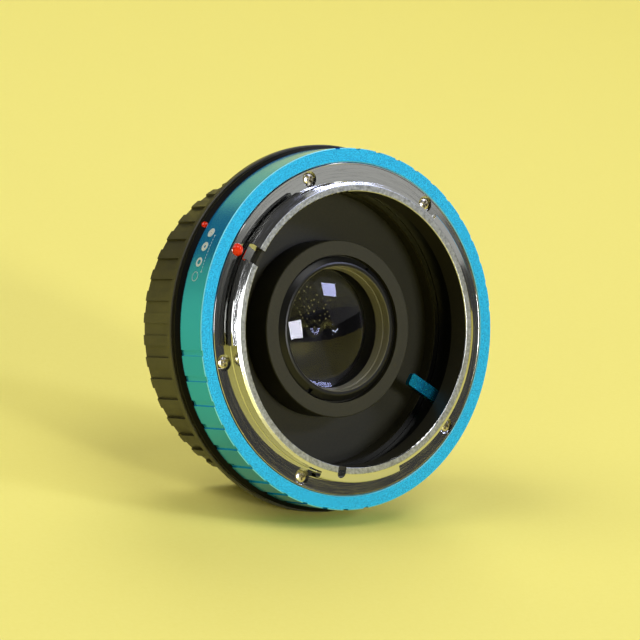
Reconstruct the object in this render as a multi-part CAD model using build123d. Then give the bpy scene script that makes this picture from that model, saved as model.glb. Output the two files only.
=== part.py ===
from build123d import *
import os
from math import cos, radians, sin, sqrt

# Lens mount adapter, in millimetres. Each piece is drawn with the optical axis along Z and z = 0 at
# the aperture ring's front face, the lens side up. Angles are seen from the lens side, counted from
# the right towards the top. At the end every piece is laid over, so that the optical axis runs along
# Y, the lens side looks along -Y and the camera seat's centre is the origin.

# Throat and collar of the lens-side bayonet, which set all the radii outside them
throat_r = 24.25
sleeve_wall = 0.6
collar_wall = 0.55
collar_h = 2.3
collar_lip_t = 0.24
collar_round = 0.2
collar_slope_w = 0.6
collar_slope_drop = 0.16
collar_foot_chamfer = 0.14
lug_reach = 1.6
lug_groove_h = 0.75
lug_edge_h = 1.98
lug_chamfer = 0.16
lens_lug_spans_deg = ((118.0, 185.5), (252.0, 290.3), (11.5, 49.0))
locating_notch_deg = 149.8
locating_notch_w = 3.0
locating_notch_depth = 1.3
small_notch_deg = 261.4
small_notch_w = 1.7
small_notch_depth = 1.0
small_notch_end_w = 0.35

# Plate of the lens-side mount and its five screws
mount_plate_t = 1.35
mount_plate_edge_w = 1.6
mount_rim_w = 0.3
mount_rim_h = 0.12
mount_screw_degs = (109.2, 53.4, 320.4, 247.1, 191.4)
mount_screw_to_lug = 0.8
mount_screw_head_r = 1.15
mount_screw_head_h = 0.75
mount_screw_dome = 0.14
mount_screw_shank_r = 0.7
mount_screw_bite = 1.2
counterbore_r = 1.45
counterbore_depth = 0.95
cross_slot_w = 0.36
cross_slot_len = 1.35
cross_slot_depth = 0.4
screw_hole_clearance = 0.05
hole_bottom_gap = 0.08

# Aperture ring, blue anodised
ring_to_plate_gap = 0.1
ring_face_w = 2.5
ring_width = 6.4
ring_rear_step = 1.0
ring_rib_w = 2.6
ring_front_chamfer = 0.15
ring_rear_chamfer = 0.1
ring_bore_chamfer = 0.15
ring_turn_deg = 18.0
grip_groove_count = 12
grip_groove_w = 1.05
grip_groove_depth = 0.25
grip_pitch_deg = 8.1
grip_first_deg = (6.2, 186.9)

# Journal that the ring's rib turns on, and the two slip washers beside the rib
journal_step = 0.6
journal_clearance = 0.06
axial_play = 0.03
slip_washer_t = 0.2
washer_edge_gap = 0.1

# Aperture lever and the two countersunk screws that hold it in the ring's rib
lever_angle_deg = 329.9
lever_w = 2.3
lever_t = 1.0
lever_tip_gap = 2.44
lever_recess = 0.18
lever_foot_half_deg = 7.0
lever_foot_gap = 0.08
lever_pocket_relief = 0.05
lever_tip_round = 0.3
lever_screw_half_deg = 4.6
lever_screw_r = 0.45
lever_screw_head_r = 0.68
lever_screw_head_h = 0.3
lever_screw_len = 1.7
lever_slot_clearance = 0.15

# Red index bead on the lens side and red index dot on the camera flange
bead_deg = 150.4
bead_beyond_screws = 0.3
bead_r = 1.1
bead_h = 0.85
bead_peg_r = 0.6
bead_peg_len = 0.8
dot_deg = 145.5
dot_r = 0.55
dot_h = 0.16
dot_peg_len = 0.35

# Main body, black anodised
body_lip_t = 0.55
body_wall = 3.0
land_gap = 0.1
flange_overhang = 0.6
flange_bevel = 0.7
flange_t = 0.9
ring_to_flange_gap = 0.1

# Camera-side bayonet mount, chromed, its focus shim and its screws
shim_t = 0.1
shim_edge_w = 0.8
shim_bore_step = 0.4
camera_plate_inset = 0.4
camera_plate_t = 0.6
camera_plate_chamfer = 0.15
spigot_step = 0.4
spigot_wall = 0.5
spigot_len = 4.3
spigot_lip_w = 1.3
spigot_chamfer = 0.2
camera_lug_reach = 1.4
camera_lug_t = 1.2
camera_lug_drop = 1.5
camera_lug_span_deg = 50.0
camera_lug_degs = (90.0, 210.0, 330.0)
camera_screw_count = 4
camera_screw_first_deg = 20.0
camera_screw_inset = 2.6
camera_screw_r = 0.7
camera_screw_head_r = 1.25
camera_screw_head_h = 0.55
camera_screw_len = 2.9
lock_hole_deg = 352.0
lock_hole_r = 1.5

# Optical housing, black: a plate across the throat with the lens tube through its middle
tube_bore_r = 12.9
tube_recess_step = 0.28
tube_recess_depth = 1.3
tube_wall = 2.58
tube_front_len = 6.1
tube_rear_step = 0.76
tube_rear_len = 3.5
tube_lip_w = 2.5
tube_lip_round = 0.4
tube_lip_flare = 0.8
tube_edge_chamfer = 0.15
housing_rim_wall = 0.35
housing_rim_h = 2.2
housing_plate_drop = 1.7
housing_plate_t = 1.2

# Lens elements, the spacer between them and the threaded ring that holds them
lens_edge_gap = 0.05
front_lens_depth = 3.0
front_lens_edge_t = 2.4
front_lens_crown = 1.9
front_lens_rim_gap = 0.1
front_lens_hollow = 0.7
spacer_t = 1.8
spacer_wall = 1.2
rear_lens_edge_t = 1.7
rear_lens_rim_w = 1.9
rear_lens_hollow = 0.55
retainer_crest_h = 0.3
retainer_crest_inset = 1.3
retainer_bevel_h = 0.8
retainer_mouth_inset = 1.8
retainer_throat_inset = 2.3
retainer_step_drop = 1.7
retainer_step = 0.12
spanner_slot_w = 0.9
spanner_slot_depth = 0.5
spanner_slot_deg = 60.0

# Rear cap, black moulded plastic, twisted onto the camera-side bayonet
cap_seat_gap = 0.05
cap_rim_overhang = 0.65
cap_rim_t = 1.25
cap_rim_round = 0.15
cap_lug_clearance = 0.2
cap_wall = 1.4
cap_depth = 15.9
cap_end_t = 1.5
cap_end_round = 0.45
cap_foot_w = 3.8
cap_end_recess = 0.5
cap_groove_count = 45
cap_groove_deg = 4.4
cap_groove_depth = 0.5
cap_groove_first_deg = 4.0
cap_tab_span_deg = 44.0
cap_tab_clearance = 0.2

# Radii, from the throat outwards
sleeve_outer_r = throat_r + sleeve_wall
collar_r = sleeve_outer_r + collar_wall
collar_wall_r = collar_r + collar_slope_w
lug_r = collar_r + lug_reach
mount_screw_circle_r = lug_r + mount_screw_to_lug
bead_circle_r = mount_screw_circle_r + bead_beyond_screws
mount_plate_r = mount_screw_circle_r + mount_plate_edge_w
ring_front_bore_r = mount_plate_r + ring_to_plate_gap
ring_rear_bore_r = ring_front_bore_r + ring_rear_step
ring_outer_r = ring_front_bore_r + ring_face_w
journal_r = mount_plate_r - journal_step
rib_bore_r = journal_r + journal_clearance
body_bore_r = journal_r - body_wall
land_r = ring_rear_bore_r - land_gap
flange_r = ring_outer_r + flange_overhang
camera_plate_r = flange_r - camera_plate_inset
camera_screw_circle_r = body_bore_r + camera_screw_inset
shim_outer_r = camera_plate_r - shim_edge_w
shim_inner_r = body_bore_r + shim_bore_step
spigot_r = body_bore_r - spigot_step
spigot_bore_r = spigot_r - spigot_wall
camera_lug_r = spigot_r + camera_lug_reach
cap_rim_r = camera_plate_r + cap_rim_overhang
cap_bore_r = camera_lug_r + cap_lug_clearance
cap_wall_r = cap_bore_r + cap_wall
cap_foot_r = cap_wall_r - cap_foot_w
cap_tab_r = spigot_r + cap_tab_clearance

# Radii of the optics, from the tube's bore
tube_recess_r = tube_bore_r + tube_recess_step
tube_r = tube_recess_r + tube_wall
tube_rear_r = tube_r - tube_rear_step
tube_lip_r = tube_bore_r - tube_lip_w
lens_edge_r = tube_bore_r - lens_edge_gap
retainer_crest_r = tube_bore_r - retainer_crest_inset
retainer_mouth_r = tube_bore_r - retainer_mouth_inset
retainer_throat_r = tube_bore_r - retainer_throat_inset
front_lens_clear_r = retainer_throat_r - front_lens_rim_gap
rear_lens_clear_r = tube_bore_r - rear_lens_rim_w

# The lever reaches from its foot in the rib almost to the tube
lever_tip_r = tube_r + lever_tip_gap
foot_inner_r = rib_bore_r + lever_foot_gap
foot_outer_r = ring_rear_bore_r - lever_foot_gap
lever_screw_circle_r = (foot_inner_r + foot_outer_r) / 2

# Heights, from the ring's front face towards the camera
plate_back_z = -mount_plate_t
mount_screw_tip_z = plate_back_z - mount_screw_bite
sleeve_back_z = plate_back_z - body_lip_t
rib_front_z = plate_back_z - slip_washer_t - axial_play
rib_back_z = rib_front_z - ring_rib_w
shoulder_z = rib_back_z - axial_play - slip_washer_t
lever_back_z = rib_back_z + lever_recess
lever_front_z = lever_back_z + lever_t
flange_front_z = -ring_width - ring_to_flange_gap
body_back_z = flange_front_z - flange_t
camera_plate_front_z = body_back_z - shim_t
seat_z = camera_plate_front_z - camera_plate_t
spigot_back_z = seat_z - spigot_len
camera_lug_front_z = seat_z - camera_lug_drop
camera_lug_back_z = camera_lug_front_z - camera_lug_t
housing_plate_front_z = seat_z - housing_plate_drop
housing_plate_back_z = housing_plate_front_z - housing_plate_t
housing_rim_front_z = housing_plate_front_z + housing_rim_h
tube_front_z = housing_plate_front_z + tube_front_len
tube_rear_z = housing_plate_back_z - tube_rear_len
front_lens_front_z = tube_front_z - front_lens_depth
front_lens_back_z = front_lens_front_z - front_lens_edge_t
rear_lens_front_z = front_lens_back_z - spacer_t
rear_lens_back_z = rear_lens_front_z - rear_lens_edge_t
retainer_crest_z = tube_front_z + retainer_crest_h
retainer_shoulder_z = retainer_crest_z - retainer_bevel_h
retainer_step_z = retainer_crest_z - retainer_step_drop
cap_front_z = seat_z - cap_seat_gap
cap_rim_back_z = cap_front_z - cap_rim_t
cap_end_z = seat_z - cap_depth


def turned(*points):
    """A solid turned round Z from (radius, height) points."""
    return revolve(make_face(Plane.XZ * Polyline(*points, close=True)), Axis.Z)


def tube(outer_r, inner_r, low_z, high_z):
    """A plain ring between two heights."""
    return turned((inner_r, low_z), (outer_r, low_z), (outer_r, high_z), (inner_r, high_z))


def arc_piece(start_deg, end_deg, *points):
    """Part of a turned ring, from one angle round to another."""
    outline = make_face(Plane.XZ * Polyline(*points, close=True))
    return Rot(0, 0, start_deg) * revolve(outline, Axis.Z, revolution_arc=end_deg - start_deg)


def arc_bar(start_deg, end_deg, inner_r, outer_r, low_z, high_z):
    """An arc of rectangular section."""
    corners = ((inner_r, low_z), (outer_r, low_z), (outer_r, high_z), (inner_r, high_z))
    return arc_piece(start_deg, end_deg, *corners)


def radial_box(angle_deg, inner_r, outer_r, width, low_z, high_z):
    """A straight bar of one width that points away from the axis."""
    bar = Box(outer_r - inner_r, width, high_z - low_z)
    return Rot(0, 0, angle_deg) * Pos((inner_r + outer_r) / 2, 0, (low_z + high_z) / 2) * bar


def rod(radius, low_z, high_z, x=0.0, y=0.0):
    """An upright round rod, or the tool for a round hole."""
    return Pos(x, y, (low_z + high_z) / 2) * Cylinder(radius, high_z - low_z)


def on_circle(piece, radius, angle_deg):
    """A copy of a piece at a radius and an angle round the axis."""
    return Rot(0, 0, angle_deg) * Pos(radius, 0, 0) * piece


def group(pieces):
    """Several loose pieces as one node."""
    return Compound(children=list(pieces))


def make_aperture_ring():
    """The blue ring: a rib inside runs on the body's journal, grooves outside give grip."""
    c = ring_front_chamfer
    b = ring_bore_chamfer
    e = ring_rear_chamfer
    ring = turned(
        (ring_front_bore_r, rib_front_z), (ring_front_bore_r, -b), (ring_front_bore_r + b, 0),
        (ring_outer_r - c, 0), (ring_outer_r, -c), (ring_outer_r, e - ring_width),
        (ring_outer_r - e, -ring_width), (ring_rear_bore_r, -ring_width),
        (ring_rear_bore_r, rib_back_z), (rib_bore_r, rib_back_z), (rib_bore_r, rib_front_z),
    )
    groove_floor_r = ring_outer_r - grip_groove_depth
    for first in grip_first_deg:
        for k in range(grip_groove_count):
            angle = first + k * grip_pitch_deg
            ring -= radial_box(angle, groove_floor_r, ring_outer_r + 1, grip_groove_w, -ring_width - 1, 1)
    half = lever_foot_half_deg + 0.2
    low, high = lever_angle_deg - half, lever_angle_deg + half
    pocket_r = ring_rear_bore_r + lever_pocket_relief
    ring -= arc_bar(low, high, rib_bore_r - 1, pocket_r, rib_back_z - 1, lever_front_z)
    for side in (-1, 1):
        hole_r = lever_screw_r + screw_hole_clearance
        hole = rod(hole_r, lever_back_z - 1, lever_back_z + lever_screw_len + hole_bottom_gap)
        ring -= on_circle(hole, lever_screw_circle_r, lever_angle_deg + side * lever_screw_half_deg)
    return ring


def make_aperture_lever():
    """The blue tab that pushes the lens's aperture lever, with its foot in the ring's rib."""
    low, high = lever_angle_deg - lever_foot_half_deg, lever_angle_deg + lever_foot_half_deg
    foot = arc_bar(low, high, foot_inner_r, foot_outer_r, lever_back_z, lever_front_z)
    arm = radial_box(0, lever_tip_r, foot_inner_r + 0.5, lever_w, lever_back_z, lever_front_z)
    tip_corners = arm.edges().filter_by(Axis.Z).group_by(Axis.X)[0]
    arm = fillet(tip_corners, lever_tip_round)
    lever = foot + Rot(0, 0, lever_angle_deg) * arm
    sink = turned(
        (0, lever_back_z - 0.01), (lever_screw_head_r, lever_back_z - 0.01),
        (lever_screw_head_r, lever_back_z), (lever_screw_r, lever_back_z + lever_screw_head_h),
        (0, lever_back_z + lever_screw_head_h),
    )
    hole = rod(lever_screw_r + screw_hole_clearance, lever_back_z, lever_front_z + 1)
    for side in (-1, 1):
        angle = lever_angle_deg + side * lever_screw_half_deg
        lever -= on_circle(sink, lever_screw_circle_r, angle)
        lever -= on_circle(hole, lever_screw_circle_r, angle)
    return lever


def make_lever_screws():
    """Two small countersunk screws, driven from the camera side."""
    top = lever_back_z + lever_screw_len
    screw = turned(
        (0, lever_back_z), (lever_screw_head_r, lever_back_z),
        (lever_screw_r, lever_back_z + lever_screw_head_h), (lever_screw_r, top), (0, top),
    )
    screw -= Pos(0, 0, lever_back_z) * Box(0.2, 2 * lever_screw_head_r, 0.24)
    angles = [lever_angle_deg + side * lever_screw_half_deg for side in (-1, 1)]
    return group(on_circle(screw, lever_screw_circle_r, a) for a in angles)


def make_slip_washer(high_z, outer_r):
    """A thin plastic ring that the rib slides on."""
    return tube(outer_r, rib_bore_r, high_z - slip_washer_t, high_z)


def lens_lug(start_deg, end_deg):
    """One lug of the lens-side collar: a groove below it and a chamfer along its upper edge."""
    slope_foot_h = collar_h - collar_slope_drop
    return arc_piece(
        start_deg, end_deg,
        (collar_r, lug_groove_h), (lug_r, lug_groove_h), (lug_r, lug_edge_h - lug_chamfer),
        (lug_r - lug_chamfer, lug_edge_h), (collar_wall_r, slope_foot_h), (collar_r, slope_foot_h),
    )


def make_lens_mount():
    """The chromed plate and collar that the lens seats on."""
    rim_in = mount_plate_r - mount_rim_w
    lip_z = collar_h - collar_lip_t
    foot = collar_foot_chamfer
    mount = turned(
        (sleeve_outer_r, plate_back_z), (mount_plate_r, plate_back_z),
        (mount_plate_r, mount_rim_h - 0.08), (mount_plate_r - 0.08, mount_rim_h),
        (rim_in + 0.06, mount_rim_h), (rim_in, 0), (collar_wall_r + foot, 0), (collar_wall_r, foot),
        (collar_wall_r, collar_h - collar_slope_drop), (collar_r, collar_h), (throat_r, collar_h),
        (throat_r, lip_z), (sleeve_outer_r, lip_z),
    )
    inner_edge = mount.edges().group_by(Axis.Z)[-1].sort_by(SortBy.RADIUS)[0]
    mount = fillet(inner_edge, collar_round)
    for start, end in lens_lug_spans_deg:
        mount += lens_lug(start, end)
    notch_z = collar_h - locating_notch_depth
    mount -= radial_box(
        locating_notch_deg, sleeve_outer_r - 2, lug_r + 1, locating_notch_w, notch_z, collar_h + 1
    )
    small_z = collar_h - small_notch_depth
    small_end_r = collar_wall_r + small_notch_end_w - small_notch_w / 2
    mount -= radial_box(small_notch_deg, throat_r - 1, small_end_r, small_notch_w, small_z, collar_h + 1)
    mount -= on_circle(rod(small_notch_w / 2, small_z, collar_h + 1), small_end_r, small_notch_deg)
    for angle in mount_screw_degs:
        sink = rod(counterbore_r, -counterbore_depth, 1)
        hole = rod(mount_screw_shank_r + screw_hole_clearance, plate_back_z - 1, 0)
        mount -= on_circle(sink, mount_screw_circle_r, angle)
        mount -= on_circle(hole, mount_screw_circle_r, angle)
    mount -= on_circle(rod(bead_peg_r, -bead_peg_len, 1), bead_circle_r, bead_deg)
    return mount


def make_mount_screws():
    """The five cross-recessed screws that hold the lens mount to the body."""
    seat = -counterbore_depth
    top = seat + mount_screw_head_h
    r = mount_screw_head_r
    screw = turned(
        (0, mount_screw_tip_z), (mount_screw_shank_r, mount_screw_tip_z),
        (mount_screw_shank_r, seat), (r, seat), (r, top - 0.2), (r - 0.2, top),
        (r * 0.55, top + mount_screw_dome * 0.7), (0, top + mount_screw_dome),
    )
    cut_z = top + mount_screw_dome - cross_slot_depth / 2
    for turn in (25, 115):
        slot = Box(cross_slot_len, cross_slot_w, cross_slot_depth)
        screw -= Rot(0, 0, turn) * Pos(0, 0, cut_z) * slot
    return group(on_circle(screw, mount_screw_circle_r, a) for a in mount_screw_degs)


def dome(radius, height, peg_r, peg_len):
    """A domed button with a peg under it, its base at z = 0."""
    ball_r = (radius**2 + height**2) / (2 * height)
    button = Pos(0, 0, height - ball_r) * Sphere(ball_r)
    button &= rod(2 * ball_r, 0, 2 * height)
    return button + rod(peg_r, -peg_len, 0.01)


def make_lens_index_bead():
    """The red bead that shows where the lens lines up."""
    return on_circle(dome(bead_r, bead_h, bead_peg_r, bead_peg_len), bead_circle_r, bead_deg)


def bevel_place():
    """The place of the red dot: the middle of the flange's bevel, square to it."""
    half = flange_bevel / 2
    return Rot(0, 0, dot_deg) * Pos(flange_r - half, 0, flange_front_z - half) * Rot(0, 45, 0)


def make_camera_index_dot():
    """The red dot that shows where the camera lines up."""
    return bevel_place() * dome(dot_r, dot_h, dot_r * 0.8, dot_peg_len)


def make_throat_sleeve():
    """The black sleeve that lines the throat behind the chrome lip."""
    return tube(sleeve_outer_r, throat_r, sleeve_back_z, collar_h - collar_lip_t)


def make_main_body():
    """The black body between both mounts, with the slot that stops the aperture lever."""
    bevel = flange_bevel
    body = turned(
        (sleeve_outer_r, plate_back_z), (journal_r, plate_back_z), (journal_r, shoulder_z),
        (land_r, shoulder_z), (land_r, flange_front_z), (flange_r - bevel, flange_front_z),
        (flange_r, flange_front_z - bevel), (flange_r, body_back_z), (body_bore_r, body_back_z),
        (body_bore_r, sleeve_back_z), (sleeve_outer_r, sleeve_back_z),
    )
    slot_low = lever_back_z - lever_slot_clearance
    slot_high = lever_front_z + lever_slot_clearance
    slot_w = lever_w + 2 * lever_slot_clearance
    last_deg = lever_angle_deg - ring_turn_deg
    body -= arc_bar(last_deg, lever_angle_deg, body_bore_r - 1, journal_r + 1, slot_low, slot_high)
    for angle in (last_deg, lever_angle_deg):
        body -= radial_box(angle, body_bore_r - 1, journal_r + 1, slot_w, slot_low, slot_high)
    front_hole_r = mount_screw_shank_r + screw_hole_clearance
    front_hole = rod(front_hole_r, mount_screw_tip_z - hole_bottom_gap, plate_back_z + 1)
    for angle in mount_screw_degs:
        body -= on_circle(front_hole, mount_screw_circle_r, angle)
    rear_hole_r = camera_screw_r + screw_hole_clearance
    rear_hole_top = seat_z + camera_screw_len + hole_bottom_gap
    rear_hole = rod(rear_hole_r, body_back_z - 1, rear_hole_top)
    for angle in camera_screw_degs():
        body -= on_circle(rear_hole, camera_screw_circle_r, angle)
    body -= bevel_place() * rod(dot_r * 0.8, -dot_peg_len, 1)
    return body


def camera_screw_degs():
    """The angles of the camera-side screws."""
    step = 360.0 / camera_screw_count
    return [camera_screw_first_deg + step * k for k in range(camera_screw_count)]


def make_focus_shim():
    """The thin brass ring that sets the infinity focus."""
    shim = tube(shim_outer_r, shim_inner_r, camera_plate_front_z, body_back_z)
    hole = rod(camera_screw_r + screw_hole_clearance, camera_plate_front_z - 1, body_back_z + 1)
    for angle in camera_screw_degs():
        shim -= on_circle(hole, camera_screw_circle_r, angle)
    return shim


def make_camera_mount():
    """The chromed camera-side bayonet: a flat seat, a spigot and three lugs."""
    lip_front_z = housing_plate_back_z
    c = camera_plate_chamfer
    mount = turned(
        (spigot_bore_r, lip_front_z), (spigot_bore_r, camera_plate_front_z),
        (camera_plate_r - c, camera_plate_front_z), (camera_plate_r, camera_plate_front_z - c),
        (camera_plate_r, seat_z + c), (camera_plate_r - c, seat_z), (spigot_r, seat_z),
        (spigot_r, spigot_back_z + spigot_chamfer), (spigot_r - spigot_chamfer, spigot_back_z),
        (spigot_bore_r - spigot_lip_w, spigot_back_z), (spigot_bore_r - spigot_lip_w, lip_front_z),
    )
    half = camera_lug_span_deg / 2
    for middle in camera_lug_degs:
        mount += arc_bar(
            middle - half, middle + half, spigot_r - 0.3, camera_lug_r, camera_lug_back_z, camera_lug_front_z
        )
    sink = turned(
        (0, seat_z - 1), (camera_screw_head_r, seat_z - 1), (camera_screw_head_r, seat_z),
        (camera_screw_r, seat_z + camera_screw_head_h), (0, seat_z + camera_screw_head_h),
    )
    hole = rod(camera_screw_r + screw_hole_clearance, seat_z - 1, camera_plate_front_z + 1)
    for angle in camera_screw_degs():
        mount -= on_circle(sink, camera_screw_circle_r, angle)
        mount -= on_circle(hole, camera_screw_circle_r, angle)
    lock_hole = rod(lock_hole_r, seat_z - 1, camera_plate_front_z + 1)
    mount -= on_circle(lock_hole, camera_screw_circle_r, lock_hole_deg)
    return mount


def make_camera_mount_screws():
    """The four countersunk screws of the camera-side mount, flush with its seat."""
    top = seat_z + camera_screw_len
    screw = turned(
        (0, seat_z), (camera_screw_head_r, seat_z), (camera_screw_r, seat_z + camera_screw_head_h),
        (camera_screw_r, top), (0, top),
    )
    for turn in (0, 90):
        screw -= Rot(0, 0, turn) * Pos(0, 0, seat_z) * Box(1.4, 0.34, 0.6)
    return group(on_circle(screw, camera_screw_circle_r, a) for a in camera_screw_degs())


def make_optic_housing():
    """The black plate across the throat and the tube that holds the lenses."""
    c = tube_edge_chamfer
    rim_r = spigot_bore_r - housing_rim_wall
    return turned(
        (tube_recess_r, tube_front_z), (tube_r - c, tube_front_z), (tube_r, tube_front_z - c),
        (tube_r, housing_plate_front_z), (rim_r, housing_plate_front_z), (rim_r, housing_rim_front_z),
        (spigot_bore_r, housing_rim_front_z), (spigot_bore_r, housing_plate_back_z),
        (tube_rear_r, housing_plate_back_z), (tube_rear_r, tube_rear_z + c),
        (tube_rear_r - c, tube_rear_z), (tube_lip_r + tube_lip_flare, tube_rear_z),
        (tube_lip_r, rear_lens_back_z - tube_lip_round), (tube_lip_r, rear_lens_back_z),
        (tube_bore_r, rear_lens_back_z), (tube_bore_r, tube_front_z - tube_recess_depth),
        (tube_recess_r, tube_front_z - tube_recess_depth),
    )


def sag_ball(radius, sag):
    """The radius of the sphere whose cap has this radius and height."""
    return (radius**2 + sag**2) / (2 * sag)


def make_front_lens():
    """The front element: a strong dome to the front, a slight hollow behind."""
    lens = rod(lens_edge_r, front_lens_back_z, front_lens_front_z)
    ball = sag_ball(front_lens_clear_r, front_lens_crown)
    crown = Pos(0, 0, front_lens_front_z + front_lens_crown - ball) * Sphere(ball)
    lens += crown & rod(lens_edge_r, front_lens_front_z - 0.2, front_lens_front_z + 2 * front_lens_crown)
    ball = sag_ball(front_lens_clear_r, front_lens_hollow)
    lens -= Pos(0, 0, front_lens_back_z + front_lens_hollow - ball) * Sphere(ball)
    return lens


def make_rear_lens():
    """The rear element, hollow on both sides."""
    lens = rod(lens_edge_r, rear_lens_back_z, rear_lens_front_z)
    ball = sag_ball(rear_lens_clear_r, rear_lens_hollow)
    lens -= Pos(0, 0, rear_lens_front_z - rear_lens_hollow + ball) * Sphere(ball)
    ball = sag_ball(tube_lip_r, rear_lens_hollow)
    lens -= Pos(0, 0, rear_lens_back_z + rear_lens_hollow - ball) * Sphere(ball)
    return lens


def make_lens_spacer():
    """The ring between the two elements."""
    return tube(lens_edge_r, lens_edge_r - spacer_wall, rear_lens_front_z, front_lens_back_z)


def make_lens_retainer():
    """The threaded ring that holds the lenses, bevelled on its face."""
    step_r = (retainer_mouth_r + retainer_throat_r) / 2
    ring = turned(
        (retainer_throat_r, front_lens_front_z), (lens_edge_r, front_lens_front_z),
        (lens_edge_r, retainer_shoulder_z), (retainer_crest_r + 0.25, retainer_crest_z - 0.05),
        (retainer_crest_r, retainer_crest_z), (retainer_mouth_r + 0.1, retainer_crest_z - 0.03),
        (retainer_mouth_r, retainer_crest_z - 0.15), (step_r + retainer_step, retainer_step_z + 0.1),
        (step_r, retainer_step_z),
    )
    slot_z = retainer_shoulder_z - spanner_slot_depth
    for half_turn in (0, 180):
        angle = spanner_slot_deg + half_turn
        ring -= radial_box(angle, retainer_crest_r + 0.5, lens_edge_r + 1, spanner_slot_w, slot_z, 0)
    return ring


def make_rear_cap():
    """The rear cap: a rim against the seat, a grooved wall, a closed end and three inner tabs."""
    q = cap_rim_round
    e = cap_end_round
    cap = turned(
        (cap_bore_r, cap_end_z + cap_end_t), (cap_bore_r, cap_front_z), (cap_rim_r - q, cap_front_z),
        (cap_rim_r, cap_front_z - q), (cap_rim_r, cap_rim_back_z + q),
        (cap_rim_r - q, cap_rim_back_z), (cap_wall_r + q, cap_rim_back_z),
        (cap_wall_r, cap_rim_back_z - q), (cap_wall_r, cap_end_z + e), (cap_wall_r - e, cap_end_z),
        (cap_foot_r, cap_end_z), (cap_foot_r - 0.3, cap_end_z + cap_end_recess),
        (0, cap_end_z + cap_end_recess), (0, cap_end_z + cap_end_t),
    )
    half = cap_groove_deg / 2
    floor_r = cap_wall_r - cap_groove_depth
    groove_top = cap_rim_back_z - q
    for k in range(cap_groove_count):
        angle = cap_groove_first_deg + k * 360.0 / cap_groove_count
        cap -= arc_bar(angle - half, angle + half, floor_r, cap_wall_r + 1, cap_end_z - 1, groove_top)
    tab_half = cap_tab_span_deg / 2
    tab_low = camera_lug_front_z + cap_tab_clearance
    tab_high = seat_z - cap_tab_clearance
    for middle in camera_lug_degs:
        cap += arc_bar(middle - tab_half, middle + tab_half, cap_tab_r, cap_bore_r + 0.2, tab_low, tab_high)
    return cap


pieces = {
    "aperture_ring": make_aperture_ring(),
    "aperture_lever": make_aperture_lever(),
    "lever_screws": make_lever_screws(),
    "front_slip_washer": make_slip_washer(plate_back_z, mount_plate_r - washer_edge_gap),
    "rear_slip_washer": make_slip_washer(shoulder_z + slip_washer_t, land_r - washer_edge_gap),
    "lens_mount": make_lens_mount(),
    "lens_mount_screws": make_mount_screws(),
    "lens_index_bead": make_lens_index_bead(),
    "throat_sleeve": make_throat_sleeve(),
    "main_body": make_main_body(),
    "camera_index_dot": make_camera_index_dot(),
    "focus_shim": make_focus_shim(),
    "camera_mount": make_camera_mount(),
    "camera_mount_screws": make_camera_mount_screws(),
    "optic_housing": make_optic_housing(),
    "front_lens": make_front_lens(),
    "lens_spacer": make_lens_spacer(),
    "rear_lens": make_rear_lens(),
    "lens_retainer": make_lens_retainer(),
    "rear_cap": make_rear_cap(),
}

# Laid over: the lens side looks along -Y, the camera seat's centre is the origin
laid_over = Rot(90, 0, 0) * Pos(0, 0, -seat_z)
os.makedirs("parts", exist_ok=True)
for name, piece in pieces.items():
    export_step(laid_over * piece, f"parts/{name}.step")
print("camera seat to lens seat", round(collar_h - seat_z, 3))
print("camera seat to cap end", round(seat_z - cap_end_z, 3))
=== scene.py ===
from math import atan2, cos, radians, sin

import bmesh
import bpy
from mathutils import Matrix, Vector


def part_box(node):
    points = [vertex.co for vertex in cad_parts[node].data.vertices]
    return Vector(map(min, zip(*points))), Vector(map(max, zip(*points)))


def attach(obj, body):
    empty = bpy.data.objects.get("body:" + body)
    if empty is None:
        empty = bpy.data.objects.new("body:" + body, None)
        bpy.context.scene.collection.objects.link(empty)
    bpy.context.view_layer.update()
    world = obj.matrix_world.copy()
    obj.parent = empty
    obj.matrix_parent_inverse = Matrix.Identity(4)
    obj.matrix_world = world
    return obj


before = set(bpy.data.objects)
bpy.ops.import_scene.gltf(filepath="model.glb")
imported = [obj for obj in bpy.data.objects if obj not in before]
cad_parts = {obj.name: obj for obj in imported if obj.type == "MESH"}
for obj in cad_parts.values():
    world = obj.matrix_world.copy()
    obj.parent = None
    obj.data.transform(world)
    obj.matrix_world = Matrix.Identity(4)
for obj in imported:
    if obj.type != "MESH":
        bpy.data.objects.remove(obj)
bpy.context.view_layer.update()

MM = 0.001

# Camera, worked out from circles fitted to the photograph
PHOTO_PX = 640
FOCAL_PX = 2832.0
SENSOR_MM = 36.0
VIEW_DISTANCE = 500 * MM
VIEW_AZIMUTH = radians(-36.33)
VIEW_ELEVATION = radians(0.81)
AIM_LEFT = 5.54 * MM
AIM_UP = 1.61 * MM

# Stage. Lengths are in metres
PAPER_COLOURS = ("ECE075", "F0E57E")
ROOM_STRENGTH = 0.07
FLOOR_GAP = 0.02 * MM
FLOOR_SIZE = 5.0
BACKDROP_LEFT = 1.15
SWEEP_BEND_AT = 0.75
SWEEP_BEND_R = 0.5
SWEEP_BEND = radians(60)
SWEEP_STEPS = 12
SWEEP_TOP = 0.6
RIM_INNER_R = 0.7
RIM_BEND_R = 2.2
RIM_RUN = 0.8
RIM_RISE = 0.43
RIM_STEPS = 8
RIM_SIDES = 96
RIM_GAP = 1.0 * MM
TOLERANCE = 1e-6

# Places on the part, from the frame
RING_LOW, RING_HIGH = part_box("aperture_ring")
RING_FACE_Y = RING_LOW.y
RING_R = RING_HIGH.x
SEAT_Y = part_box("lens_mount")[0].y
CAP_RIM_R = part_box("rear_cap")[1].x
LENS_FRONT_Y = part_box("front_lens")[0].y

# How far behind their front faces the ring's bevel, painted pale as a highlight, and the collar's wear
# start and end, and the length over which the blasting fades out
BEVEL_START = 0.02 * MM
BEVEL_END = 0.14 * MM
BLAST_FADE = 0.03 * MM
WEAR_START = 0.01 * MM
WEAR_END = 0.05 * MM
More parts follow.
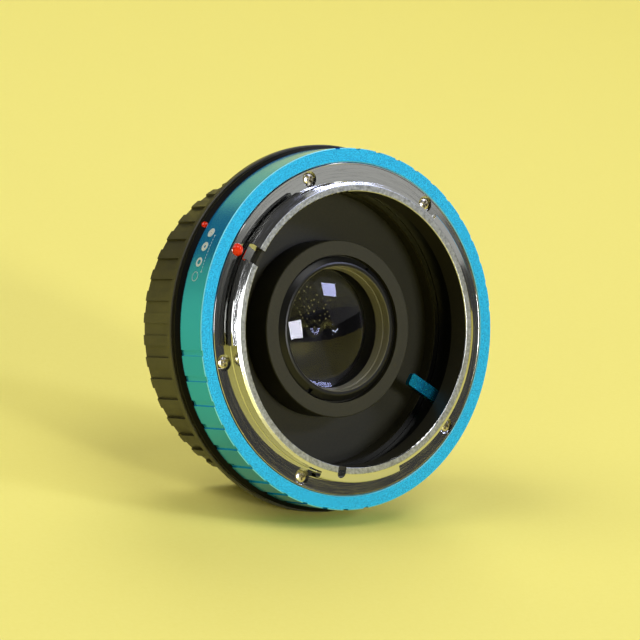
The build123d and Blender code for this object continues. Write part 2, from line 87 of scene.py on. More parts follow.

# The retaining ring is painted lighter inside this radius, as painted light and a painted reflection of the
# yellow card, and the change takes this much on each side of it
BORE_R = 11.18 * MM
BORE_FADE = 0.02 * MM

# Dust on the upper left of the front lens
DUST_AT = (-5.0 * MM, LENS_FRONT_Y, 4.0 * MM)
DUST_R = 4.5 * MM

# The cap rests on its rim and on its closed end, so the part leans back on the floor
CAP_WALL_R = 28.4 * MM
CAP_RIM_FOOT_Y = 1.15 * MM
CAP_END_FOOT_Y = 15.45 * MM
LEAN = atan2(CAP_RIM_R - CAP_WALL_R, CAP_END_FOOT_Y - CAP_RIM_FOOT_Y)
FLOOR_FOOT = Vector((0, CAP_RIM_FOOT_Y, -CAP_RIM_R))
FLOOR_UP = Vector((0, -sin(LEAN), cos(LEAN)))
FLOOR_BEHIND = Vector((0, cos(LEAN), sin(LEAN)))

# Marks printed on the ring's side. Each icon has its angle in degrees and its hole's radius in mm,
# and the dashed bar has the angles of its two ends
ICON_R = 0.86 * MM
ICON_SIDES = 48
ICON_DEPTH = 3.85 * MM
ICONS = ((148.3, 0.1), (153.2, 0.26), (158.45, 0.46), (163.1, 0.78))
BAR_DEPTH = 2.3 * MM
BAR_ANGLES = (149.3, 161.7)
BAR_DASHES = 12
BAR_DASH_SHARE = 0.6
BAR_LINE = 0.1 * MM
BAR_END_HEIGHT = 0.5 * MM
PRINT_T = 0.03 * MM
PRINT_PROUD = 0.02 * MM


def srgb(hex_colour):
    """The linear colour of an sRGB hex value."""
    values = []
    for i in (0, 2, 4):
        v = int(hex_colour[i:i + 2], 16) / 255
        values.append(v / 12.92 if v <= 0.04045 else ((v + 0.055) / 1.055) ** 2.4)
    return (*values, 1.0)


def per_mm(size_mm):
    """The texture scale at which one feature is this many millimetres wide."""
    return 1 / (size_mm * MM)


def add_node(tree, kind, settings=None, links=None):
    """Adds a node, sets its properties and inputs, and links other nodes' outputs to its inputs."""
    node = tree.nodes.new(kind)
    for key, value in (settings or {}).items():
        if isinstance(key, int) or key in node.inputs.keys():
            node.inputs[key].default_value = value
        else:
            setattr(node, key, value)
    for key, (source, output) in (links or {}).items():
        tree.links.new(source.outputs[output], node.inputs[key])
    return node


def new_material(name):
    """An empty material, its tree and its output node."""
    material = bpy.data.materials.new(name)
    material.use_nodes = True
    tree = material.node_tree
    tree.nodes.clear()
    output = tree.nodes.new("ShaderNodeOutputMaterial")
    return material, tree, output


def from_axis(tree, place):
    """Each point's distance from the optical axis."""
    flat = add_node(
        tree, "ShaderNodeVectorMath", {"operation": "MULTIPLY", 1: (1.0, 0.0, 1.0)}, {0: (place, "Object")}
    )
    return add_node(tree, "ShaderNodeVectorMath", {"operation": "LENGTH"}, {0: (flat, "Vector")})


def along_circle(tree, place, across_mm, along_mm):
    """Coordinates that run round the optical axis, for marks that a lathe or a twisting mount leaves."""
    axes = add_node(tree, "ShaderNodeSeparateXYZ", links={"Vector": (place, "Object")})
    angle = add_node(tree, "ShaderNodeMath", {"operation": "ARCTAN2"}, {0: (axes, "Z"), 1: (axes, "X")})
    radius = from_axis(tree, place)
    turned = add_node(
        tree, "ShaderNodeCombineXYZ", links={"X": (angle, 0), "Y": (radius, "Value"), "Z": (axes, "Y")}
    )
    stretch = (RING_R * per_mm(along_mm), per_mm(across_mm), per_mm(across_mm))
    return add_node(
        tree, "ShaderNodeVectorMath", {"operation": "MULTIPLY", 1: stretch}, {0: (turned, "Vector")}
    )


def blasted_blue():
    """Aluminium blasted with fine beads and anodised blue. The face sparkles finely, the side is
    smoother and mirrors its surroundings softly, and the front bevels are painted pale as a highlight."""
    material, tree, output = new_material("blue_anodised_aluminium")
    place = add_node(tree, "ShaderNodeTexCoord")
    axes = add_node(tree, "ShaderNodeSeparateXYZ", links={"Vector": (place, "Object")})
    bevel_end = RING_FACE_Y + BEVEL_END
    bevel_middle = RING_FACE_Y + (BEVEL_START + BEVEL_END) / 2
    face = add_node(
        tree, "ShaderNodeMapRange",
        {"From Min": bevel_end, "From Max": bevel_end + BLAST_FADE, "To Min": 1.0, "To Max": 0.0},
        {"Value": (axes, "Y")},
    )
    edge = add_node(
        tree, "ShaderNodeMath", {"operation": "COMPARE", 1: bevel_middle, 2: (BEVEL_END - BEVEL_START) / 2},
        {0: (axes, "Y")},
    )
    # The beads are 0.1 mm, drawn twice as coarse so that they show
    beads = add_node(
        tree, "ShaderNodeTexNoise", {"Scale": per_mm(0.22), "Detail": 2.0, "Roughness": 0.7},
        {"Vector": (place, "Object")},
    )
    sparkle = add_node(
        tree, "ShaderNodeMapRange", {"From Min": 0.36, "From Max": 0.64}, {"Value": (beads, "Fac")}
    )
    grain = add_node(
        tree, "ShaderNodeMix", {"data_type": "RGBA", "A": srgb("0088BA"), "B": srgb("26C2F2")},
        {"Factor": (sparkle, "Result")},
    )
    satin = add_node(
        tree, "ShaderNodeMix", {"data_type": "RGBA", "A": srgb("20B0FF")},
        {"Factor": (face, "Result"), "B": (grain, "Result")},
    )
    # Painted highlight: the front bevel is coloured pale cyan all round, standing in for the light its
    # edges catch
    colour = add_node(
        tree, "ShaderNodeMix", {"data_type": "RGBA", "B": srgb("84DCF0")},
        {"Factor": (edge, "Value"), "A": (satin, "Result")},
    )
    metallic = add_node(
        tree, "ShaderNodeMapRange", {"To Min": 0.74, "To Max": 0.45}, {"Value": (face, "Result")}
    )
    roughness = add_node(
        tree, "ShaderNodeMapRange", {"To Min": 0.2, "To Max": 0.45}, {"Value": (face, "Result")}
    )
    dimples = add_node(
        tree, "ShaderNodeMath", {"operation": "MULTIPLY"}, {0: (beads, "Fac"), 1: (face, "Result")}
    )
    bump = add_node(
        tree, "ShaderNodeBump", {"Strength": 0.5, "Distance": 0.04 * MM}, {"Height": (dimples, "Value")}
    )
    shader = add_node(
        tree, "ShaderNodeBsdfPrincipled", None,
        {
            "Base Color": (colour, "Result"), "Metallic": (metallic, "Result"),
            "Roughness": (roughness, "Result"), "Normal": (bump, "Normal"),
        },
    )
    tree.links.new(shader.outputs[0], output.inputs["Surface"])
    return material


def smooth_blue():
    """Aluminium anodised blue without blasting: a smooth satin mirror, darker than the blasted face."""
    material, tree, output = new_material("blue_anodised_smooth_aluminium")
    place = add_node(tree, "ShaderNodeTexCoord")
    marks = add_node(
        tree, "ShaderNodeTexNoise", {"Scale": per_mm(0.35), "Detail": 2.0}, {"Vector": (place, "Object")}
    )
    colour = add_node(
        tree, "ShaderNodeMix", {"data_type": "RGBA", "A": srgb("118CB8"), "B": srgb("1B9AC8")},
        {"Factor": (marks, "Fac")},
    )
    roughness = add_node(
        tree, "ShaderNodeMapRange", {"From Min": 0.3, "From Max": 0.7, "To Min": 0.25, "To Max": 0.3},
        {"Value": (marks, "Fac")},
    )
    shader = add_node(
        tree, "ShaderNodeBsdfPrincipled", {"Metallic": 0.92},
        {"Base Color": (colour, "Result"), "Roughness": (roughness, "Result")},
    )
    tree.links.new(shader.outputs[0], output.inputs["Surface"])
    return material


def black_anodised(name, colours, roughness, specular, ior, tool_marks):
    """Aluminium turned on a lathe and anodised black: dark, with faint rings from the tool and a fine
    grain from the bath. The colours are the grain's darkest and lightest."""
    material, tree, output = new_material(name)
    place = add_node(tree, "ShaderNodeTexCoord")
    grain = add_node(
        tree, "ShaderNodeTexNoise", {"Scale": per_mm(0.3), "Detail": 2.0}, {"Vector": (place, "Object")}
    )
    rings = add_node(
        tree, "ShaderNodeTexNoise", {"Scale": 1.0, "Detail": 1.0},
        {"Vector": (along_circle(tree, place, 0.25, 30.0), "Vector")},
    )
    height = add_node(tree, "ShaderNodeMath", {"operation": "ADD"}, {0: (grain, "Fac"), 1: (rings, "Fac")})
    colour = add_node(
        tree, "ShaderNodeMix", {"data_type": "RGBA", "A": srgb(colours[0]), "B": srgb(colours[1])},
        {"Factor": (grain, "Fac")},
    )
    bump = add_node(
        tree, "ShaderNodeBump", {"Strength": tool_marks, "Distance": 0.01 * MM},
        {"Height": (height, "Value")},
    )
    shader = add_node(
        tree, "ShaderNodeBsdfPrincipled",
        {"Roughness": roughness, "Specular IOR Level": specular, "IOR": ior},
        {"Base Color": (colour, "Result"), "Normal": (bump, "Normal")},
    )
    tree.links.new(shader.outputs[0], output.inputs["Surface"])
    return material


def black_ring_with_painted_bore():
    """The retaining ring: black anodised outside, its bore painted a lighter olive grey that stands in for
    the light and the yellow card's reflection falling into it.
    """
    material, tree, output = new_material("black_anodised_retaining_ring")
    place = add_node(tree, "ShaderNodeTexCoord")
    bore_painted_light = add_node(
        tree, "ShaderNodeMapRange",
        {"From Min": BORE_R - BORE_FADE, "From Max": BORE_R + BORE_FADE, "To Min": 1.0, "To Max": 0.0},
        {"Value": (from_axis(tree, place), "Value")},
    )
    rings = add_node(
        tree, "ShaderNodeTexNoise", {"Scale": 1.0, "Detail": 2.0},
        {"Vector": (along_circle(tree, place, 0.2, 20.0), "Vector")},
    )
    # Painted light: the bore's olive grey stands in for the light and yellow reflection it catches
    wall = add_node(
        tree, "ShaderNodeMix", {"data_type": "RGBA", "A": srgb("5E5B49"), "B": srgb("7F7B63")},
        {"Factor": (rings, "Fac")},
    )
    colour = add_node(
        tree, "ShaderNodeMix", {"data_type": "RGBA", "A": srgb("121210")},
        {"Factor": (bore_painted_light, "Result"), "B": (wall, "Result")},
    )
    bump = add_node(
        tree, "ShaderNodeBump", {"Strength": 0.3, "Distance": 0.01 * MM}, {"Height": (rings, "Fac")}
    )
    shader = add_node(
        tree, "ShaderNodeBsdfPrincipled", {"Roughness": 0.3, "Specular IOR Level": 0.3},
        {"Base Color": (colour, "Result"), "Normal": (bump, "Normal")},
    )
    tree.links.new(shader.outputs[0], output.inputs["Surface"])
    return material


def chrome():
    """Bright chrome on machined brass. The plate is a mirror with hair scratches, and the collar's flat
    top, which lenses rub on, is dull, cloudy and scuffed."""
    material, tree, output = new_material("bright_chrome_plate")
    place = add_node(tree, "ShaderNodeTexCoord")
    axes = add_node(tree, "ShaderNodeSeparateXYZ", links={"Vector": (place, "Object")})
    worn = add_node(
        tree, "ShaderNodeMapRange",
        {"From Min": SEAT_Y + WEAR_START, "From Max": SEAT_Y + WEAR_END, "To Min": 1.0, "To Max": 0.0},
        {"Value": (axes, "Y")},
    )
    clouds = add_node(
        tree, "ShaderNodeTexNoise", {"Scale": per_mm(0.55), "Detail": 3.0, "Roughness": 0.65},
        {"Vector": (place, "Object")},
    )
    hairs = add_node(
        tree, "ShaderNodeTexNoise", {"Scale": 1.0, "Detail": 2.0, "Roughness": 0.6},
        {"Vector": (along_circle(tree, place, 0.12, 6.0), "Vector")},
    )
    mottle = add_node(
        tree, "ShaderNodeMapRange", {"From Min": 0.32, "From Max": 0.68}, {"Value": (clouds, "Fac")}
    )
    top = add_node(
        tree, "ShaderNodeMix", {"data_type": "RGBA", "A": srgb("868884"), "B": srgb("B8BAB6")},
        {"Factor": (mottle, "Result")},
    )
    colour = add_node(
        tree, "ShaderNodeMix", {"data_type": "RGBA", "A": srgb("CCCDCB")},
        {"Factor": (worn, "Result"), "B": (top, "Result")},
    )
    polish = add_node(
        tree, "ShaderNodeMapRange", {"From Min": 0.42, "From Max": 0.72, "To Min": 0.055, "To Max": 0.17},
        {"Value": (hairs, "Fac")},
    )
    dull = add_node(
        tree, "ShaderNodeMapRange", {"From Min": 0.3, "From Max": 0.7, "To Min": 0.3, "To Max": 0.42},
        {"Value": (clouds, "Fac")},
    )
    roughness = add_node(
        tree, "ShaderNodeMix", {"data_type": "FLOAT"},
        {0: (worn, "Result"), 2: (polish, "Result"), 3: (dull, "Result")},
    )
    scuffs = add_node(
        tree, "ShaderNodeMath", {"operation": "MULTIPLY"}, {0: (clouds, "Fac"), 1: (worn, "Result")}
    )
    bump = add_node(
        tree, "ShaderNodeBump", {"Strength": 0.25, "Distance": 0.02 * MM}, {"Height": (scuffs, "Value")}
    )
    shader = add_node(
        tree, "ShaderNodeBsdfPrincipled", {"Metallic": 1.0},
        {"Base Color": (colour, "Result"), "Roughness": (roughness, 0), "Normal": (bump, "Normal")},
    )
    tree.links.new(shader.outputs[0], output.inputs["Surface"])
    return material


def nickel():
    """Nickel-plated steel screws: a warm grey mirror, a little stained."""
    material, tree, output = new_material("nickel_plated_steel")
    place = add_node(tree, "ShaderNodeTexCoord")
    stains = add_node(
        tree, "ShaderNodeTexNoise", {"Scale": per_mm(0.5), "Detail": 3.0}, {"Vector": (place, "Object")}
    )
    colour = add_node(
        tree, "ShaderNodeMix", {"data_type": "RGBA", "A": srgb("B0A892"), "B": srgb("DCD7CB")},
        {"Factor": (stains, "Fac")},
    )
    roughness = add_node(
        tree, "ShaderNodeMapRange", {"From Min": 0.3, "From Max": 0.7, "To Min": 0.14, "To Max": 0.32},
        {"Value": (stains, "Fac")},
    )
    shader = add_node(
        tree, "ShaderNodeBsdfPrincipled", {"Metallic": 1.0},
        {"Base Color": (colour, "Result"), "Roughness": (roughness, "Result")},
    )
    tree.links.new(shader.outputs[0], output.inputs["Surface"])
    return material


def red_enamel():
    """Red enamel, poured into a drop: glossy, with a slightly uneven skin."""
    material, tree, output = new_material("red_enamel")
    place = add_node(tree, "ShaderNodeTexCoord")
    skin = add_node(
        tree, "ShaderNodeTexNoise", {"Scale": per_mm(0.6), "Detail": 1.0}, {"Vector": (place, "Object")}
    )
    colour = add_node(
        tree, "ShaderNodeMix", {"data_type": "RGBA", "A": srgb("CC1E04"), "B": srgb("E83208")},
        {"Factor": (skin, "Fac")},
    )
    bump = add_node(
        tree, "ShaderNodeBump", {"Strength": 0.35, "Distance": 0.06 * MM}, {"Height": (skin, "Fac")}
    )
    shader = add_node(
        tree, "ShaderNodeBsdfPrincipled", {"Roughness": 0.06, "Specular IOR Level": 0.4},
        {"Base Color": (colour, "Result"), "Normal": (bump, "Normal")},
    )
    tree.links.new(shader.outputs[0], output.inputs["Surface"])
    return material


def moulded_abs():
    """Black ABS from a spark-eroded mould: a fine even grain that scatters the light, rubbed a little
    smoother here and there by hands."""
    material, tree, output = new_material("moulded_black_abs")
    place = add_node(tree, "ShaderNodeTexCoord")
    # The mould's grain is 0.1 mm, drawn three times as coarse so that it shows
    grain = add_node(
        tree, "ShaderNodeTexNoise", {"Scale": per_mm(0.3), "Detail": 3.0}, {"Vector": (place, "Object")}
    )
    # The cap is black; the olive tint in these colours is a painted glow of the yellow card
    colour = add_node(
        tree, "ShaderNodeMix", {"data_type": "RGBA", "A": srgb("1B1A0F"), "B": srgb("353220")},
        {"Factor": (grain, "Fac")},
    )
    bump = add_node(
        tree, "ShaderNodeBump", {"Strength": 0.5, "Distance": 0.04 * MM}, {"Height": (grain, "Fac")}
    )
    rubbed = add_node(
        tree, "ShaderNodeTexNoise", {"Scale": per_mm(5.0), "Detail": 4.0}, {"Vector": (place, "Object")}
    )
    roughness = add_node(
        tree, "ShaderNodeMapRange", {"From Min": 0.35, "From Max": 0.65, "To Min": 0.34, "To Max": 0.5},
        {"Value": (rubbed, "Fac")},
    )
    shader = add_node(
        tree, "ShaderNodeBsdfPrincipled", {"Specular IOR Level": 0.65},
        {"Base Color": (colour, "Result"), "Roughness": (roughness, "Result"), "Normal": (bump, "Normal")},
    )
    tree.links.new(shader.outputs[0], output.inputs["Surface"])
    return material


def slip_ptfe():
    """Skived PTFE: a waxy white with faint knife lines round it."""
    material, tree, output = new_material("skived_white_ptfe")
    place = add_node(tree, "ShaderNodeTexCoord")
    lines = add_node(
        tree, "ShaderNodeTexNoise", {"Scale": 1.0, "Detail": 1.0},
        {"Vector": (along_circle(tree, place, 0.2, 15.0), "Vector")},
    )
    colour = add_node(
        tree, "ShaderNodeMix", {"data_type": "RGBA", "A": srgb("D8D8D0"), "B": srgb("EEEEE8")},
        {"Factor": (lines, "Fac")},
    )
    shader = add_node(
        tree, "ShaderNodeBsdfPrincipled", {"Roughness": 0.5, "IOR": 1.35, "Subsurface Weight": 0.1},
        {"Base Color": (colour, "Result")},
    )
    tree.links.new(shader.outputs[0], output.inputs["Surface"])
    return material


def rolled_brass():
    """Brass shim stock: long rolling lines and a little tarnish."""
    material, tree, output = new_material("rolled_brass_shim")
    place = add_node(tree, "ShaderNodeTexCoord")
    lines = add_node(
        tree, "ShaderNodeMapping", {"Scale": (per_mm(12.0), per_mm(1.0), per_mm(0.15))},
        {"Vector": (place, "Object")},
    )
    rolling = add_node(
        tree, "ShaderNodeTexNoise", {"Scale": 1.0, "Detail": 2.0}, {"Vector": (lines, "Vector")}
    )
    colour = add_node(
        tree, "ShaderNodeMix", {"data_type": "RGBA", "A": srgb("A8823A"), "B": srgb("D9B768")},
        {"Factor": (rolling, "Fac")},
    )
    shader = add_node(
        tree, "ShaderNodeBsdfPrincipled", {"Metallic": 1.0, "Roughness": 0.3},
        {"Base Color": (colour, "Result")},
    )
    tree.links.new(shader.outputs[0], output.inputs["Surface"])
    return material


def coated_glass():
    """Optical glass with an anti-reflection coating: clear, violet in its reflections, with a few
    specks of dust on it."""
    material, tree, output = new_material("coated_optical_glass")
    place = add_node(tree, "ShaderNodeTexCoord")
    specks = add_node(
        tree, "ShaderNodeTexVoronoi", {"Scale": per_mm(0.75)}, {"Vector": (place, "Object")}
    )
    small = add_node(
        tree, "ShaderNodeMath", {"operation": "LESS_THAN", 1: 0.17}, {0: (specks, "Distance")}
    )
    away = add_node(
        tree, "ShaderNodeVectorMath", {"operation": "DISTANCE", 1: DUST_AT}, {0: (place, "Object")}
    )
    dusty = add_node(
        tree, "ShaderNodeMath", {"operation": "LESS_THAN", 1: DUST_R}, {0: (away, "Value")}
    )
    dust = add_node(
        tree, "ShaderNodeMath", {"operation": "MULTIPLY"}, {0: (small, "Value"), 1: (dusty, "Value")}
    )
    faint = add_node(tree, "ShaderNodeMath", {"operation": "MULTIPLY", 1: 0.5}, {0: (dust, "Value")})
    glass = add_node(
        tree, "ShaderNodeBsdfPrincipled",
        {
            "Roughness": 0.0, "IOR": 1.52, "Transmission Weight": 1.0, "Base Color": srgb("E8EAF0"),
            "Specular Tint": srgb("B2B1BC"),
        },
    )
    fluff = add_node(tree, "ShaderNodeBsdfDiffuse", {"Color": srgb("B8B080")})
    shader = add_node(
        tree, "ShaderNodeMixShader", links={0: (faint, "Value"), 1: (glass, 0), 2: (fluff, 0)}
    )
    tree.links.new(shader.outputs[0], output.inputs["Surface"])
    return material


def printed_ink():
    """Pale grey ink, pad printed: thin, matt and a little uneven."""
    material, tree, output = new_material("pad_printed_ink")
    place = add_node(tree, "ShaderNodeTexCoord")
    cover = add_node(
        tree, "ShaderNodeTexNoise", {"Scale": per_mm(0.25), "Detail": 2.0}, {"Vector": (place, "Object")}
    )
    colour = add_node(
        tree, "ShaderNodeMix", {"data_type": "RGBA", "A": srgb("A9B4BC"), "B": srgb("D3DADF")},
        {"Factor": (cover, "Fac")},
    )
    shader = add_node(
        tree, "ShaderNodeBsdfPrincipled", {"Roughness": 0.55}, {"Base Color": (colour, "Result")}
    )
    tree.links.new(shader.outputs[0], output.inputs["Surface"])
    return material


def dress(node, material):
    """Gives a CAD node one material."""
    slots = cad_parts[node].data.materials
    slots.clear()
    slots.append(material)


def make_materials():
    """Makes each finish and gives it to the CAD nodes that have it."""
    body = black_anodised("black_anodised_body", ("030303", "070705"), 0.4, 0.3, 1.25, 0.15)
    throat = black_anodised("black_anodised_throat", ("1F1E16", "29271C"), 0.42, 0.4, 1.4, 0.05)
    # The housing is black anodised; the olive tint in its colours is a painted glow of bounced light from
    # the yellow card
    housing = black_anodised("black_anodised_housing", ("222114", "302E1D"), 0.5, 0.3, 1.45, 0.12)
    finishes = (
        (blasted_blue(), ("aperture_ring",)),
        (smooth_blue(), ("aperture_lever",)),
        (body, ("main_body",)),
        (throat, ("throat_sleeve", "lens_spacer")),
        (housing, ("optic_housing",)),
        (black_ring_with_painted_bore(), ("lens_retainer",)),
        (chrome(), ("lens_mount", "camera_mount")),
        (nickel(), ("lens_mount_screws", "camera_mount_screws", "lever_screws")),
        (red_enamel(), ("lens_index_bead", "camera_index_dot")),
        (coated_glass(), ("front_lens", "rear_lens")),
        (moulded_abs(), ("rear_cap",)),
        (slip_ptfe(), ("front_slip_washer", "rear_slip_washer")),
        (rolled_brass(), ("focus_shim",)),
    )
    for material, nodes in finishes:
        for node in nodes:
            dress(node, material)


def stand_on_ring(piece, angle_deg, depth):
    """Moves a flat mark, drawn round the origin in X and Y, onto the ring's side."""
    angle = radians(angle_deg)
    out = Vector((cos(angle), 0, sin(angle)))
    round_ring = Vector((sin(angle), 0, -cos(angle)))
    back = Vector((0, 1, 0))
    turn = Matrix((round_ring, back, round_ring.cross(back))).transposed().to_4x4()
    middle = out * (RING_R + PRINT_PROUD - PRINT_T) + back * (RING_FACE_Y + depth)
    piece.data.transform(Matrix.Translation(middle) @ turn)


def printed_icon(hole_r):
    """A round mark of ink with a hole through it."""
    bpy.ops.object.select_all(action="DESELECT")
    bpy.ops.mesh.primitive_circle_add(vertices=ICON_SIDES, radius=ICON_R, fill_type="NGON")
    icon = bpy.context.active_object
    bpy.ops.object.mode_set(mode="EDIT")
    bpy.ops.mesh.inset(thickness=ICON_R - hole_r)
    bpy.ops.mesh.delete(type="FACE")
    bpy.ops.mesh.select_all(action="SELECT")
    bpy.ops.mesh.extrude_region_move(TRANSFORM_OT_translate={"value": (0, 0, PRINT_T)})
    bpy.ops.object.mode_set(mode="OBJECT")
    return icon


def printed_dash(length, height):
    """A short straight mark of ink."""
    bpy.ops.object.select_all(action="DESELECT")
    bpy.ops.mesh.primitive_plane_add(size=1.0)
    dash = bpy.context.active_object
    dash.data.transform(Matrix.Diagonal((length, height, 1, 1)))
    bpy.ops.object.mode_set(mode="EDIT")
    bpy.ops.mesh.extrude_region_move(TRANSFORM_OT_translate={"value": (0, 0, PRINT_T)})
    bpy.ops.object.mode_set(mode="OBJECT")
    return dash


def make_ring_print():
    """The icons and the dashed bar on the ring's side, which show how far the ring is turned."""
    marks = []
    for angle, hole_mm in ICONS:
        icon = printed_icon(hole_mm * MM)
        stand_on_ring(icon, angle, ICON_DEPTH)
        marks.append(icon)
    first, last = BAR_ANGLES
    pitch = (last - first) / BAR_DASHES
    for k in range(BAR_DASHES):
        dash = printed_dash(radians(pitch * BAR_DASH_SHARE) * RING_R, BAR_LINE)
        stand_on_ring(dash, first + pitch * (k + 0.5), BAR_DEPTH)
        marks.append(dash)
    for angle in BAR_ANGLES:
        tick = printed_dash(BAR_LINE, BAR_END_HEIGHT)
        stand_on_ring(tick, angle, BAR_DEPTH)
        marks.append(tick)
    bpy.ops.object.select_all(action="DESELECT")
    for mark in marks:
        mark.select_set(True)
    bpy.context.view_layer.objects.active = marks[0]
    bpy.ops.object.join()
    print_piece = bpy.context.active_object
    print_piece.name = "ring_print"
    bpy.ops.object.mode_set(mode="EDIT")
    bpy.ops.mesh.select_all(action="SELECT")
    bpy.ops.mesh.remove_doubles(threshold=0.001 * MM)
    bpy.ops.mesh.normals_make_consistent(inside=False)
    bpy.ops.object.mode_set(mode="OBJECT")
    print_piece.data.materials.append(printed_ink())
    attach(print_piece, "aperture_ring")


def make_camera():
    """The camera stands where the photograph's stood, in the part's own frame."""
    back = Vector((
        sin(VIEW_AZIMUTH) * cos(VIEW_ELEVATION),
        -cos(VIEW_AZIMUTH) * cos(VIEW_ELEVATION),
        sin(VIEW_ELEVATION),
    ))
    right = Vector((0, 0, 1)).cross(back).normalized()
    up = back.cross(right)
    aim = Vector((0, RING_FACE_Y, 0)) - right * AIM_LEFT + up * AIM_UP
    data = bpy.data.cameras.new("camera")
    data.sensor_width = SENSOR_MM
    data.lens = FOCAL_PX / PHOTO_PX * SENSOR_MM
    data.clip_start = 0.01
    data.clip_end = 20
    camera = bpy.data.objects.new("camera", data)
    bpy.context.scene.collection.objects.link(camera)
    turn = Matrix((right, up, back)).transposed().to_4x4()
    camera.matrix_world = Matrix.Translation(aim + back * VIEW_DISTANCE) @ turn
    bpy.context.scene.camera = camera


def studio_direction(azimuth, elevation):
    """A direction: azimuth from the part's front towards its right, elevation from the floor."""
    flat = Vector((1, 0, 0)) * sin(azimuth) - FLOOR_BEHIND * cos(azimuth)
    return flat * cos(elevation) + FLOOR_UP * sin(elevation)


def yellow_paper():
    """Yellow card, matt, with a faint fibre. Looked at from below it is clear, so that low views show
    the part, but it still throws its shadow and its colour."""
    material, tree, output = new_material("yellow_card")
    place = add_node(tree, "ShaderNodeTexCoord")
    fibre = add_node(
        tree, "ShaderNodeTexNoise", {"Scale": per_mm(0.8), "Detail": 3.0}, {"Vector": (place, "Object")}
    )
    low, high = PAPER_COLOURS
    colour = add_node(
        tree, "ShaderNodeMix", {"data_type": "RGBA", "A": srgb(low), "B": srgb(high)},
        {"Factor": (fibre, "Fac")},
    )
    paper = add_node(
        tree, "ShaderNodeBsdfPrincipled", {"Roughness": 0.75, "Specular IOR Level": 0.2},
        {"Base Color": (colour, "Result")},
    )
    side = add_node(tree, "ShaderNodeNewGeometry")
    path = add_node(tree, "ShaderNodeLightPath")
    seen = add_node(
        tree, "ShaderNodeMath", {"operation": "MAXIMUM"},
        {0: (path, "Is Camera Ray"), 1: (path, "Is Glossy Ray")},
    )
    looked_at = add_node(
        tree, "ShaderNodeMath", {"operation": "MAXIMUM"}, {0: (seen, 0), 1: (path, "Is Transmission Ray")}
    )
    both = add_node(
        tree, "ShaderNodeMath", {"operation": "MULTIPLY"}, {0: (side, "Backfacing"), 1: (looked_at, 0)}
    )
    clear = add_node(tree, "ShaderNodeBsdfTransparent")
    shader = add_node(tree, "ShaderNodeMixShader", links={0: (both, 0), 1: (paper, 0), 2: (clear, 0)})
    tree.links.new(shader.outputs[0], output.inputs["Surface"])
    return material


def lay_card(card, depth):
    """Lays a card, drawn round the origin in X and Y, on the floor or this deep below it, so that the
    camera looks along its Y."""
    away = -studio_direction(VIEW_AZIMUTH, 0)
    turn = Matrix((away.cross(FLOOR_UP), away, FLOOR_UP)).transposed().to_4x4()
    card.data.transform(Matrix.Translation(FLOOR_FOOT - FLOOR_UP * depth) @ turn)


def make_rim(card_material):
    """The card's outer edge, turned up all round, so that low views don't look past it."""
    bpy.ops.object.select_all(action="DESELECT")
    bpy.ops.mesh.primitive_circle_add(vertices=RIM_SIDES, radius=RIM_INNER_R, fill_type="NOTHING")
    rim = bpy.context.active_object
    rim.name = "paper_rim"
    last_radius, last_height = RIM_INNER_R, 0.0
    bpy.ops.object.mode_set(mode="EDIT")
    for k in range(RIM_STEPS + 1):
        radius = RIM_BEND_R + RIM_RUN * k / RIM_STEPS
        height = RIM_RISE * (k / RIM_STEPS) ** 2
        bpy.ops.mesh.extrude_region_move(TRANSFORM_OT_translate={"value": (0, 0, height - last_height)})
        growth = radius / last_radius
        bpy.ops.transform.resize(value=(growth, growth, 1), center_override=(0, 0, 0))
        last_radius, last_height = radius, height
    bpy.ops.mesh.select_all(action="SELECT")
    rim.update_from_editmode()
    if rim.data.polygons[0].normal.z < 0:
        bpy.ops.mesh.flip_normals()
    bpy.ops.object.mode_set(mode="OBJECT")
    bpy.ops.object.shade_smooth()
    rim.data.materials.append(card_material)
    lay_card(rim, RIM_GAP)


def make_sweep(card_material):
    """Yellow card that lies under the part and curves up behind it, seen from the camera."""
    bpy.ops.object.select_all(action="DESELECT")
    bpy.ops.mesh.primitive_plane_add(size=FLOOR_SIZE)
    sweep = bpy.context.active_object
    sweep.name = "paper_sweep"
    sweep.data.transform(Matrix.Translation((0, SWEEP_BEND_AT - FLOOR_SIZE / 2, 0)))
    bpy.ops.object.mode_set(mode="EDIT")
    bpy.ops.mesh.select_all(action="SELECT")
    bpy.ops.mesh.bisect(plane_co=(-BACKDROP_LEFT, 0, 0), plane_no=(1, 0, 0))
    bpy.ops.mesh.select_mode(type="EDGE")
    bpy.ops.mesh.select_all(action="DESELECT")
    mesh = bmesh.from_edit_mesh(sweep.data)
    far_y = max(v.co.y for v in mesh.verts)
    for edge in mesh.edges:
        at_end = all(abs(v.co.y - far_y) < TOLERANCE for v in edge.verts)
        behind_part = all(v.co.x > -BACKDROP_LEFT - TOLERANCE for v in edge.verts)
        if at_end and behind_part:
            edge.select = True
    bmesh.update_edit_mesh(sweep.data)
    step = SWEEP_BEND / SWEEP_STEPS
    for k in range(SWEEP_STEPS):
        turn = step * (k + 0.5)
        run = SWEEP_BEND_R * step
        bpy.ops.mesh.extrude_region_move(
            TRANSFORM_OT_translate={"value": (0, run * cos(turn), run * sin(turn))}
        )
    bpy.ops.mesh.extrude_region_move(
        TRANSFORM_OT_translate={"value": (0, SWEEP_TOP * cos(SWEEP_BEND), SWEEP_TOP * sin(SWEEP_BEND))}
    )
    bpy.ops.object.mode_set(mode="OBJECT")
    bpy.ops.object.shade_smooth()
    sweep.data.materials.append(card_material)
    lay_card(sweep, FLOOR_GAP)


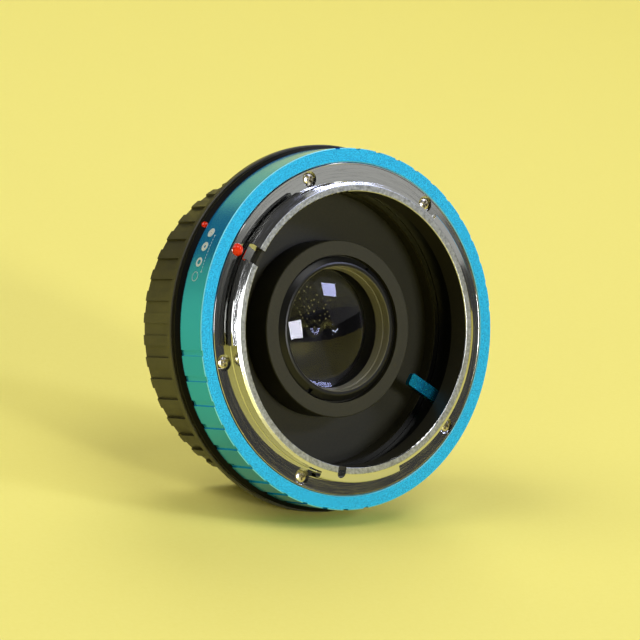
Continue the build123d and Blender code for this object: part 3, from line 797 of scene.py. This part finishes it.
def make_world():
    """A dim grey room beyond the card."""
    world = bpy.data.worlds.new("world")
    bpy.context.scene.world = world
    world.use_nodes = True
    tree = world.node_tree
    tree.nodes.clear()
    output = tree.nodes.new("ShaderNodeOutputWorld")
    room = add_node(tree, "ShaderNodeBackground", {"Color": srgb("F0EEE8"), "Strength": ROOM_STRENGTH})
    tree.links.new(room.outputs[0], output.inputs["Surface"])


def area_light(name, azimuth_deg, elevation_deg, distance, size, radiance, hex_colour="FFFFFF", tilt_deg=0):
    """A rectangle of light that faces the part. Its radiance is how bright it looks in a mirror."""
    width, height = size
    data = bpy.data.lights.new(name, "AREA")
    data.shape = "RECTANGLE"
    data.size = width
    data.size_y = height
    # Such a light looks as bright as its energy over four times its area
    data.energy = radiance * 4 * width * height
    data.color = srgb(hex_colour)[:3]
    light = bpy.data.objects.new(name, data)
    light.visible_camera = False
    bpy.context.scene.collection.objects.link(light)
    away = studio_direction(radians(azimuth_deg), radians(elevation_deg))
    across = FLOOR_UP.cross(away).normalized()
    turn = Matrix((across, away.cross(across), away)).transposed().to_4x4()
    tilt = Matrix.Rotation(radians(tilt_deg), 4, "Z")
    light.matrix_world = Matrix.Translation(away * distance) @ turn @ tilt


def make_lights():
    """Three soft lights over the card, windows that glint in glass and chrome, and a wall that chrome
    mirrors."""
    area_light("front_softbox", 12, 70, 3.0, (1.8, 1.4), 2.45)
    area_light("left_softbox", -105, 50, 3.0, (1.8, 1.8), 2.8)
    area_light("back_softbox", 142, 46, 3.4, (2.0, 2.0), 2.25)
    area_light("window", 5.5, 16, 3.0, (0.5, 0.62), 30.0, "FAFBFF", 10)
    area_light("left_window", -57, 16, 2.8, (0.3, 0.8), 2.0)
    area_light("skylight", 43, 35, 2.8, (0.54, 0.38), 24.0, "C4CAF4", -25)
    area_light("wall", 53.5, 30, 3.2, (2.02, 1.68), 0.41, "F1F1EC")


make_camera()
make_materials()
make_ring_print()
yellow_card = yellow_paper()
make_sweep(yellow_card)
make_rim(yellow_card)
make_world()
make_lights()

bpy.context.scene.view_settings.view_transform = "Standard"
